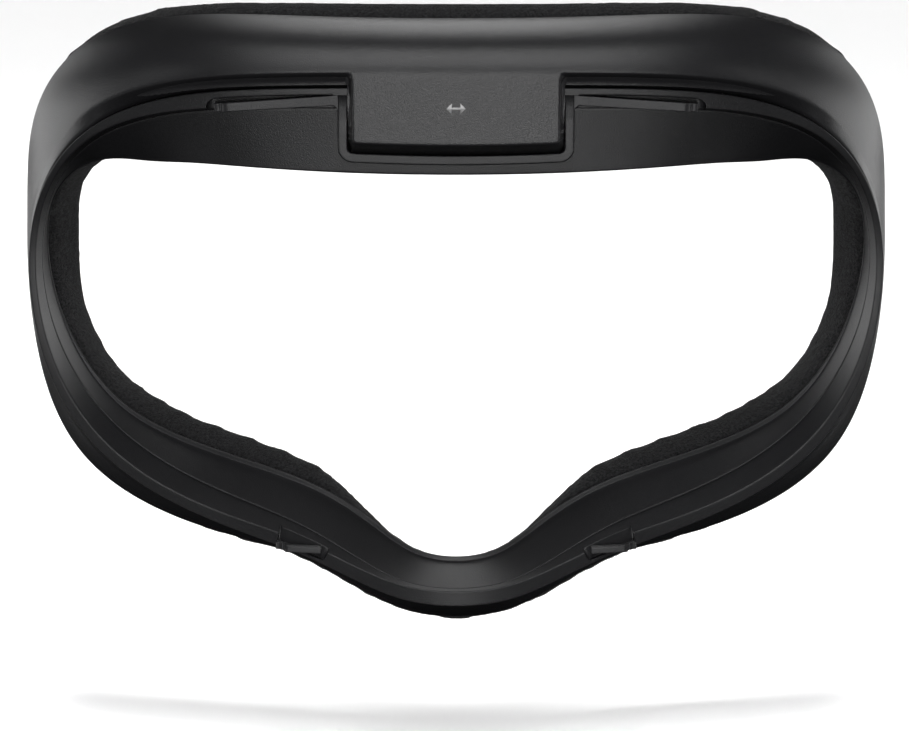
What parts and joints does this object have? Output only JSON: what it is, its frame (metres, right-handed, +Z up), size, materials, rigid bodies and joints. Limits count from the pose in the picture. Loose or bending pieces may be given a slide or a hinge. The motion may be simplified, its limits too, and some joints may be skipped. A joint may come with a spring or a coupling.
{
  "type": "headset facial interface",
  "caption": "Face cushion frame of a head-worn display: a flared shroud ring with snap arms in front and a padded fabric cushion behind.",
  "frame": {"origin": "centre of the seat face: the middle of the lower run of the rim around the centre tab, on the rim's front plane", "axes": "+X to the right seen from the display side, +Y from the display towards the wearer's face, +Z up towards the forehead"},
  "size_m": [0.1682, 0.0559, 0.1188],
  "materials": {
    "shroud_plastic": "satin black moulding with a fine spark-eroded grain",
    "rim_plastic": "satin black moulding",
    "carrier_plastic": "satin black moulding, smoother than the shroud",
    "snap_plastic": "satin black moulding",
    "mounting_tape": "double-sided mounting tape",
    "cushion_foam": "open-cell polyurethane foam",
    "knit_cover": "fine black brushed knit"
  },
  "bodies": {
    "frame": {"outer_shroud": "shroud_plastic", "rim_frame": "rim_plastic", "pad_carrier": "carrier_plastic", "brow_tape": "mounting_tape", "left_tape": "mounting_tape", "right_tape": "mounting_tape", "nose_tape": "mounting_tape", "foam_core": "cushion_foam", "fabric_cover": "knit_cover"},
    "upper_left_arm": {"upper_snap_left": "snap_plastic"},
    "upper_right_arm": {"upper_snap_right": "snap_plastic"},
    "lower_left_arm": {"lower_snap_left": "snap_plastic"},
    "lower_right_arm": {"lower_snap_right": "snap_plastic"}
  },
  "joints": [
    {"name": "upper_left_flex", "type": "hinge", "parent": "frame", "child": "upper_left_arm", "pos_m": [-0.02255, 0.0002, 0.0107], "axis": [0, 1, 0], "range_deg": [0, 3], "stiffness_Nm_per_rad": 0.31},
    {"name": "upper_right_flex", "type": "hinge", "parent": "frame", "child": "upper_right_arm", "pos_m": [0.02255, 0.0002, 0.0107], "axis": [0, -1, 0], "range_deg": [0, 3], "stiffness_Nm_per_rad": 0.31},
    {"name": "lower_left_flex", "type": "hinge", "parent": "frame", "child": "lower_left_arm", "pos_m": [-0.02571, -0.00508, -0.07408], "axis": [0, 1, 0], "range_deg": [0, 6], "stiffness_Nm_per_rad": 0.29},
    {"name": "lower_right_flex", "type": "hinge", "parent": "frame", "child": "lower_right_arm", "pos_m": [0.02571, -0.00508, -0.07408], "axis": [0, -1, 0], "range_deg": [0, 6], "stiffness_Nm_per_rad": 0.29}
  ]
}
